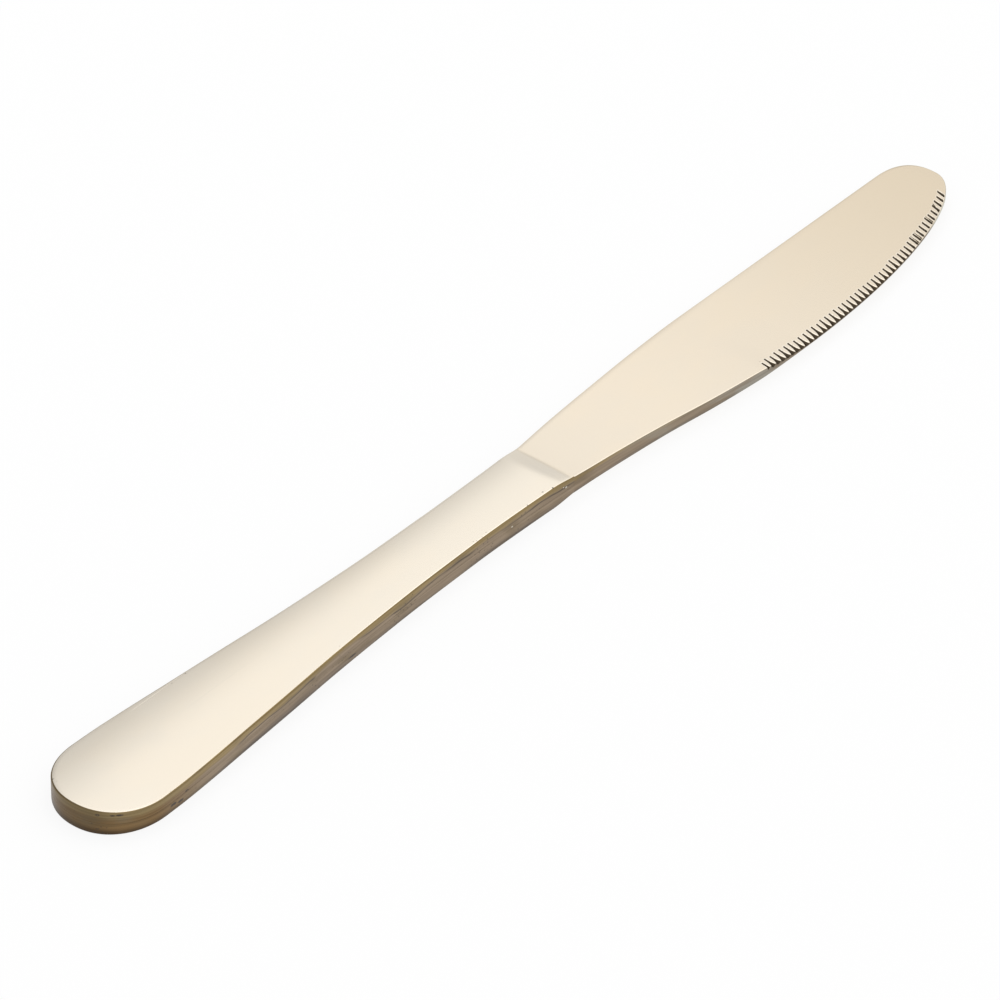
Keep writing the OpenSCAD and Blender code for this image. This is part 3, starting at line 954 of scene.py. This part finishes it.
# Sides: tones of their painted reflection of the shadowed floor, darker round the butt as
# painted shade, share of mottled patches, and half the thickness in metres
HANDLE_SIDES = {"Upper": (0.33, 0.24, 0.112), "Middle": (0.325, 0.248, 0.172),
                "Lower": (0.145, 0.115, 0.092), "Mottle": (0.20, 0.15, 0.085), "Patches": 0.7}
BUTT_SIDES = {"Upper": (0.27, 0.2, 0.1), "Middle": (0.222, 0.142, 0.066),
              "Lower": (0.065, 0.04, 0.026), "Mottle": (0.20, 0.175, 0.12), "Patches": 0.45}
BLADE_SIDES = {"Upper": (0.335, 0.278, 0.19), "Middle": (0.30, 0.235, 0.168),
               "Lower": (0.19, 0.162, 0.13), "Mottle": (0.37, 0.36, 0.315), "Patches": 0.6}
ROOT_HALF_HEIGHT = 0.0018
BLADE_HALF_HEIGHT = 0.0016

# Where a tone changes, in millimetres from the butt, the middle line or the mouth
BUTT_TONE_BEHIND = 3
BUTT_TONE_AHEAD = 14
BUTT_SHADE_FROM_Y = -8.5
BUTT_SHADE_TO_Y = -3.5
# Where the painted shade over the shells' rim lifts towards the neck
RIM_SHADE_LIFTS_FROM = 45
RIM_SHADE_LIFTS_TO = 85
LIP_TONE_FROM = 1.3
LIP_TONE_TO = 0.5

# The same on the blade, in metres from the mouth or the tip
TIP_TONE_FROM = 0.01
TIP_TONE_FULL = 0.02
GREY_AFTER_ROOT = 0.03
TIP_SIDE_FROM = 0.016
TIP_SIDE_TO = 0.009

# How high a mark is where its tone begins and where it is full
# The shells take the dark side tone from where the rim's rounding begins: painted shade over the
# rim's highlight
SHELL_SIDE_MARK = (0.0, 0.3)
BLADE_SIDE_MARK = (0.6, 0.95)
RIM_MARK = (0.55, 0.9)
CUT_MARK = (0.02, 0.3)

# Strength of each effect, roughness, and depth of the relief in metres
BUTT_SHADE_SHARE = 0.45
RIM_SHADE_LIFT = 0.28
PIT_SHARE = 0.6
FLECK_SHARE = 0.9
PALE_FLECK_SHARE = 0.8
SPECK_SHARE = 0.75
PAINTED_GLINT_SHARE = 0.45
SHELL_ROUGH = (0.12, 0.17)
BLADE_ROUGH = (0.13, 0.18)
BRAZE_ROUGH = (0.32, 0.45)
CEMENT_ROUGH = (0.85, 0.95)
SIDE_ROUGHER = 0.2
CUT_ROUGHER = 0.3
SCRATCH_ROUGHER = 0.12
STREAK_HEIGHT = 2.0
POLISH_DEPTH = 0.0000012
PORE_DEPTH = 0.00001
SAND_DEPTH = 0.00005

# Flecks: place, half sizes and share of hollow middle, as flecks() takes them
SHELL_FLECKS = [
    (1.0, -4.6, 4.2, 0.45, 0.5, 0.3, 1.0),
    (2.4, -6.7, 4.3, 0.5, 0.5, 0.2, 0.0),
    (3.2, -7.6, 4.35, 0.75, 0.7, 0.22, 0.0),
    (13.2, -10.4, 1.9, 0.9, 1.0, 0.35, 0.0),
    (15.0, -10.4, 1.5, 0.9, 1.0, 0.3, 0.0),
    (16.6, -10.2, 2.6, 0.6, 1.0, 0.25, 0.0),
    (24.4, -9.45, 5.0, 0.35, 0.2, 0.3, 0.0),
    (19.8, -10.0, 4.9, 0.5, 0.25, 0.3, 0.0),
    (12.8, -10.1, 4.9, 0.4, 0.2, 0.3, 0.0),
    (113.2, -5.55, 5.0, 0.3, 0.25, 0.3, 0.0),
    (115.2, -6.1, 4.9, 0.3, 0.25, 0.3, 0.0),
    (62.0, -7.2, 1.4, 1.2, 1.0, 0.25, 0.0),
]
PALE_FLECKS = [
    (104.6, -6.05, 2.7, 0.28, 0.6, 0.22, 0.0),
    (118.4, -6.3, 3.2, 0.3, 0.6, 0.22, 0.0),
    (117.7, -6.3, 3.5, 0.16, 0.6, 0.14, 0.0),
]
BLADE_FLECKS = [(166.7, -9.4, 4.0, 0.25, 0.25, 0.8, 0.0)]


# Finishes of the pieces

def to_handle_body(tree, x):
    """0 round the butt and 1 along the handle's straight sides."""
    full = BUTT_AT + BUTT_L
    return spread(tree, x, (full - BUTT_TONE_BEHIND) * MM, (full + BUTT_TONE_AHEAD) * MM)


def polished_relief(tree, shader, lines, streaks, sideways):
    """Hairlines all over, and streaks on the sides."""
    streaks = times(tree, times(tree, streaks, sideways), STREAK_HEIGHT)
    relief(tree, shader, plus(tree, lines["Height"], streaks), POLISH_DEPTH)


def shell_finish(name):
    """Polished champagne shells: hazy faces; streaked dark sides that are painted reflection of the
    shadowed floor, with painted shade over the rim's rounding and round the butt; pits and flecks
    by the rim."""
    material, tree, shader = finish(name, 1.0)
    haze = effect(tree, HAZE, Tone=SHELL_TONE, Haze=SHELL_HAZE, Amount=0.8, Size=1.0)
    sides = effect(tree, STREAKS, **HANDLE_SIDES, Half_height=HALF_HEIGHT, Line=0.75)
    butt = effect(tree, STREAKS, **BUTT_SIDES, Half_height=HALF_HEIGHT)
    lines = effect(tree, HAIRLINES, Amount=1.0)
    pits = effect(tree, PITS, Cells=1100.0, Radius=0.16, Cover=0.63)["Pits"]
    x = place_on(tree, "X")

    # Painted shade over the rim's rounding, lifted towards the neck, where the rim keeps its
    # highlight
    shade_lifting = ((BUTT_AT + RIM_SHADE_LIFTS_FROM) * MM, (BUTT_AT + RIM_SHADE_LIFTS_TO) * MM)
    rim_shade_lift = spread(tree, x, *shade_lifting, 0.0, RIM_SHADE_LIFT)
    sideways = spread(tree, minus(tree, mark(tree, "side"), rim_shade_lift), *SHELL_SIDE_MARK)
    # Painted shade on the sides round the butt, fading out towards the edge side
    butt_shade_share = spread(tree, place_on(tree, "Y"), BUTT_SHADE_FROM_Y * MM, BUTT_SHADE_TO_Y * MM, 0.0, BUTT_SHADE_SHARE)
    butt_tone = blend(tree, butt_shade_share, butt["Color"], BUTT_PAINTED_SHADE)
    side_tone = blend(tree, to_handle_body(tree, x), butt_tone, sides["Color"])
    at_lip = spread(tree, x, ROOT_AT - LIP_TONE_FROM * MM, ROOT_AT - LIP_TONE_TO * MM)
    colour = blend(tree, sideways, blend(tree, at_lip, haze["Color"], LIP_TONE), side_tone)
    pale_share = times(tree, flecks(tree, PALE_FLECKS), PALE_FLECK_SHARE)
    colour = blend(tree, pale_share, colour, PALE_FLECK_TONE)
    by_rim = times(tree, spread(tree, mark(tree, "rim"), *RIM_MARK), PIT_SHARE)
    flecked = times(tree, flecks(tree, SHELL_FLECKS), FLECK_SHARE)
    pitted = larger(tree, times(tree, pits, by_rim), flecked)
    wire(tree, blend(tree, pitted, colour, FLECK_TONE), shader["Base Color"])

    rough = times(tree, sideways, SIDE_ROUGHER)
    rough = plus(tree, rough, spread(tree, haze["Patches"], 0, 1, *SHELL_ROUGH))
    rough = plus(tree, rough, times(tree, lines["Scratches"], SCRATCH_ROUGHER))
    wire(tree, rough, shader["Roughness"])
    polished_relief(tree, shader, lines, sides["Streaks"], sideways)
    return material


def blade_finish(name):
    """Polished champagne blade: deeper gold to the tip; dark sides, greyer away from the handle and
    paler at the tip, that are painted reflection of the shadowed floor; cuts painted dark, partly
    their unpolished grind and partly painted shade, with painted highlight rims beside them."""
    material, tree, shader = finish(name, 1.0)
    haze = effect(tree, HAZE, Tone=BLADE_TONE, Haze=BLADE_HAZE, Amount=0.8, Size=0.8)
    by_root = effect(tree, STREAKS, **HANDLE_SIDES, Half_height=ROOT_HALF_HEIGHT)
    sides = effect(tree, STREAKS, **BLADE_SIDES, Half_height=BLADE_HALF_HEIGHT)
    lines = effect(tree, HAIRLINES, Amount=1.0)
    x = place_on(tree, "X")

    to_tip = spread(tree, x, ROOT_AT + TIP_TONE_FROM, TIP_AT + TIP_TONE_FULL)
    face = blend(tree, to_tip, haze["Color"], TIP_TONE)
    # Sides: painted reflection of the shadowed floor, greyer away from the handle and paler at the
    # tip
    to_grey = spread(tree, x, ROOT_AT, ROOT_AT + GREY_AFTER_ROOT)
    side_tone = blend(tree, to_grey, by_root["Color"], sides["Color"])
    at_tip = spread(tree, x, TIP_AT - TIP_SIDE_FROM, TIP_AT - TIP_SIDE_TO)
    side_tone = blend(tree, at_tip, side_tone, TIP_SIDE)
    sideways = spread(tree, mark(tree, "side"), *BLADE_SIDE_MARK)
    # Cuts: painted shade over their unpolished grind, with a painted highlight rim beside them
    grooved = spread(tree, mark(tree, "cut"), *CUT_MARK)
    glint_share = times(tree, spread(tree, mark(tree, "painted_glint"), 0.0, 1.0), PAINTED_GLINT_SHARE)
    colour = blend(tree, sideways, blend(tree, glint_share, face, PAINTED_GLINT_TONE), side_tone)
    colour = blend(tree, grooved, colour, GROOVE_TONE)
    specks = times(tree, flecks(tree, BLADE_FLECKS), SPECK_SHARE)
    wire(tree, blend(tree, specks, colour, FLECK_TONE), shader["Base Color"])

    rough = plus(tree, times(tree, sideways, SIDE_ROUGHER), times(tree, grooved, CUT_ROUGHER))
    rough = plus(tree, rough, spread(tree, haze["Patches"], 0, 1, *BLADE_ROUGH))
    wire(tree, rough, shader["Roughness"])
    polished_relief(tree, shader, lines, sides["Streaks"], sideways)
    return material


def braze_finish(name):
    """Brass braze in nearly the tone of the sides' painted reflection, darker round the butt as
    painted shade, with pores.
    """
    material, tree, shader = finish(name, 1.0)
    haze = effect(tree, HAZE, Tone=BRAZE_TONE, Haze=BRAZE_HAZE, Amount=1.0, Size=1.6)
    pits = effect(tree, PITS, Cells=1500.0, Radius=0.3, Cover=0.56)["Pits"]
    tone = blend(tree, to_handle_body(tree, place_on(tree, "X")), BUTT_BRAZE, haze["Color"])
    wire(tree, blend(tree, pits, tone, PIT_TONE), shader["Base Color"])
    wire(tree, spread(tree, haze["Patches"], 0, 1, *BRAZE_ROUGH), shader["Roughness"])
    relief(tree, shader, minus(tree, haze["Patches"], pits), PORE_DEPTH)
    return material


def cement_finish(name):
    """Grey cement with a sandy grain."""
    material, tree, shader = finish(name, 0.0)
    haze = effect(tree, HAZE, Tone=CEMENT_TONE, Haze=CEMENT_HAZE, Amount=1.0, Size=4.0)
    pits = effect(tree, PITS, Cells=1700.0, Radius=0.35, Cover=0.45)["Pits"]
    wire(tree, blend(tree, pits, haze["Color"], CEMENT_PIT), shader["Base Color"])
    wire(tree, spread(tree, haze["Patches"], 0, 1, *CEMENT_ROUGH), shader["Roughness"])
    relief(tree, shader, minus(tree, haze["Patches"], pits), SAND_DEPTH)
    return material


shell_upper_metal = shell_finish("polished_shell_upper")
shell_lower_metal = shell_finish("polished_shell_lower")
blade_metal = blade_finish("polished_blade")
braze_metal = braze_finish("brass_braze")
cement = cement_finish("sandy_cement")

# Pieces
upper = handle_half_shell("handle_upper_half", shell_upper_metal, 1)
lower = handle_half_shell("handle_lower_half", shell_lower_metal, -1)
seam = braze_line("braze_seam", braze_metal)
blade = blade_forging("blade_forging", blade_metal)
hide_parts("handle_shell_upper")
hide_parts("handle_shell_lower")
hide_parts("seam_braze")
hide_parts("blade")
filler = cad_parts["handle_filler"]
filler.data.materials.clear()
filler.data.materials.append(cement)

# Stage

FLOOR_HALF = 12.0
FLOOR_WHITE = 0.86
FLOOR_TONE = (0.96, 0.96, 0.96, 1)


def floor_finish():
    """White to the camera and in reflections, apart from its shadow, and clear from below."""
    material = bpy.data.materials.new("floor_paint")
    material.use_nodes = True
    tree = material.node_tree
    tree.nodes.clear()
    paint = node(tree, "ShaderNodeBsdfDiffuse")
    paint.inputs["Color"].default_value = FLOOR_TONE
    white = node(tree, "ShaderNodeEmission")
    clear = node(tree, "ShaderNodeBsdfTransparent")
    ray = node(tree, "ShaderNodeLightPath").outputs
    seen = larger(tree, ray["Is Camera Ray"], ray["Is Glossy Ray"])
    seen = larger(tree, seen, ray["Is Transmission Ray"])
    whitened = node(tree, "ShaderNodeMixShader")
    either = node(tree, "ShaderNodeMixShader")
    below = node(tree, "ShaderNodeNewGeometry").outputs["Backfacing"]
    out = node(tree, "ShaderNodeOutputMaterial")
    wire(tree, times(tree, seen, FLOOR_WHITE), whitened.inputs["Fac"])
    wire(tree, paint.outputs["BSDF"], whitened.inputs[1])
    wire(tree, white.outputs["Emission"], whitened.inputs[2])
    wire(tree, below, either.inputs["Fac"])
    wire(tree, whitened.outputs["Shader"], either.inputs[1])
    wire(tree, clear.outputs["BSDF"], either.inputs[2])
    wire(tree, either.outputs["Shader"], out.inputs["Surface"])
    return material


floor_mesh = bpy.data.meshes.new("floor")
corners = [(FLOOR_HALF * i, FLOOR_HALF * j, 0) for i, j in ((-1, -1), (1, -1), (1, 1), (-1, 1))]
floor_mesh.from_pydata(corners, [], [(0, 1, 2, 3)])
floor_mesh.materials.append(floor_finish())
floor = bpy.data.objects.new("floor", floor_mesh)
bpy.context.scene.collection.objects.link(floor)

# World: a white room, dimmer low down and dimmer towards the spine side, with a soft bright patch

LOW_LIGHT = 0.76
CLIMB = (0.40, 0.56)
OPEN_LIGHT = 1.025
FLAG_LIGHT = 0.49
TO_FLAG = (0.493, 0.674)
PATCH_LIGHT = 0.35
PATCH_RIM = (0.93, 0.99)
PATCH_AT = Vector((0.6, -0.12, 0.79)).normalized()


def studio_light():
    """The room's light by direction: eased between levels along y and z, with a round patch."""
    world = bpy.data.worlds.new("studio")
    world.use_nodes = True
    tree = world.node_tree
    tree.nodes.clear()
    place = node(tree, "ShaderNodeTexCoord").outputs["Generated"]
    parts = node(tree, "ShaderNodeSeparateXYZ")
    wire(tree, place, parts.inputs["Vector"])
    flag = spread(tree, parts.outputs["Y"], *TO_FLAG, OPEN_LIGHT, FLAG_LIGHT)
    climb = spread(tree, parts.outputs["Z"], *CLIMB, LOW_LIGHT, flag)
    towards = node(tree, "ShaderNodeVectorMath", operation="DOT_PRODUCT")
    towards.inputs[1].default_value = PATCH_AT
    wire(tree, place, towards.inputs[0])
    patch = spread(tree, towards.outputs["Value"], *PATCH_RIM, 0.0, PATCH_LIGHT)
    back = node(tree, "ShaderNodeBackground")
    out = node(tree, "ShaderNodeOutputWorld")
    wire(tree, plus(tree, climb, patch), back.inputs["Color"])
    wire(tree, back.outputs["Background"], out.inputs["Surface"])
    return world


bpy.context.scene.world = studio_light()

# Camera: its turns, the place it aims at in millimetres, and that place in its view

CAMERA_ROUND = math.radians(49.92)
CAMERA_UP = math.radians(37.98)
CAMERA_ROLL = math.radians(-0.11)
AIM = np.array([54.23, 0, 2.5])
AIM_IN_VIEW = np.array([3.85, 2.334, 1886.3])
LENS = 400
SENSOR_W = 36
NEAREST = 0.05
FARTHEST = 100


def turn_about_z(angle):
    """Turn about z, by the angle's cosine and sine."""
    c, s = math.cos(angle), math.sin(angle)
    return np.array([[c, -s, 0], [s, c, 0], [0, 0, 1]])


up_c, up_s = math.cos(CAMERA_UP), math.sin(CAMERA_UP)
tilt = np.array([[1, 0, 0], [0, up_s, up_c], [0, up_c, -up_s]])
view = turn_about_z(CAMERA_ROLL) @ tilt @ turn_about_z(CAMERA_ROUND)
position = (AIM - view.T @ AIM_IN_VIEW) * MM
axes = np.stack([view[0], view[1], -view[2]], axis=1)
camera_data = bpy.data.cameras.new("camera")
camera_data.lens = LENS
camera_data.sensor_width = SENSOR_W
camera_data.clip_start = NEAREST
camera_data.clip_end = FARTHEST
camera = bpy.data.objects.new("camera", camera_data)
bpy.context.scene.collection.objects.link(camera)
camera.matrix_world = Matrix([[*axes[k], position[k]] for k in range(3)] + [[0, 0, 0, 1]])
bpy.context.scene.camera = camera
bpy.context.scene.view_settings.view_transform = "Standard"

# Key lamp behind the knife

KEY_SIZE_X = 0.9
KEY_SIZE_Y = 0.7
KEY_ENERGY = 1.6
KEY_FROM = Vector((0.3, 0.26, 0.92)).normalized() * 1.4
key_data = bpy.data.lights.new("key_softbox", "AREA")
key_data.shape = "RECTANGLE"
key_data.size = KEY_SIZE_X
key_data.size_y = KEY_SIZE_Y
key_data.energy = KEY_ENERGY
key = bpy.data.objects.new("key_softbox", key_data)
bpy.context.scene.collection.objects.link(key)
key.location = KEY_FROM
key.rotation_mode = "QUATERNION"
key.rotation_quaternion = (-KEY_FROM).to_track_quat("-Z", "Y")
